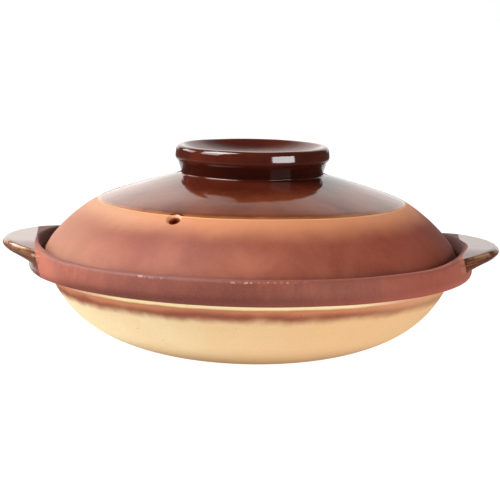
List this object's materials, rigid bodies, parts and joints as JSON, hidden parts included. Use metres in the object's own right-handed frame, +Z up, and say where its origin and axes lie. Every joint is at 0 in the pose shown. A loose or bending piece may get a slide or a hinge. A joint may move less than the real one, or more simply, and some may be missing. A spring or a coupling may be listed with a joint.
{
  "type": "rice cooking pot",
  "caption": "Shallow round clay rice pot with a collar and half-moon ear handles, and a domed lift-off lid with a dished ring knob and a steam vent, partly glazed dark brown.",
  "frame": {"origin": "centre of the foot, on the surface the pot stands on", "axes": "+X through the right ear, -Y towards the front where the vent is, +Z up along the axis of the pot"},
  "size_m": [0.288, 0.257, 0.1204],
  "materials": {
    "bowl_clay": "bare fired clay, cream, flashed red-brown at the collar",
    "lid_clay": "bare fired clay, red-brown with an orange edge along the glaze",
    "brown_glaze": "glossy dark brown glaze"
  },
  "bodies": {
    "pot": {"bowl": "bowl_clay", "bowl_lining_glaze": "brown_glaze", "left_handle": "brown_glaze", "right_handle": "brown_glaze"},
    "lid": {"lid": "lid_clay", "lid_crown_glaze": "brown_glaze", "lid_lining_glaze": "brown_glaze", "lid_knob": "brown_glaze"}
  },
  "joints": [
    {"name": "lid_lift", "type": "slide", "parent": "pot", "child": "lid", "axis": [0, 0, 1], "range_m": [0, 0.15]}
  ]
}
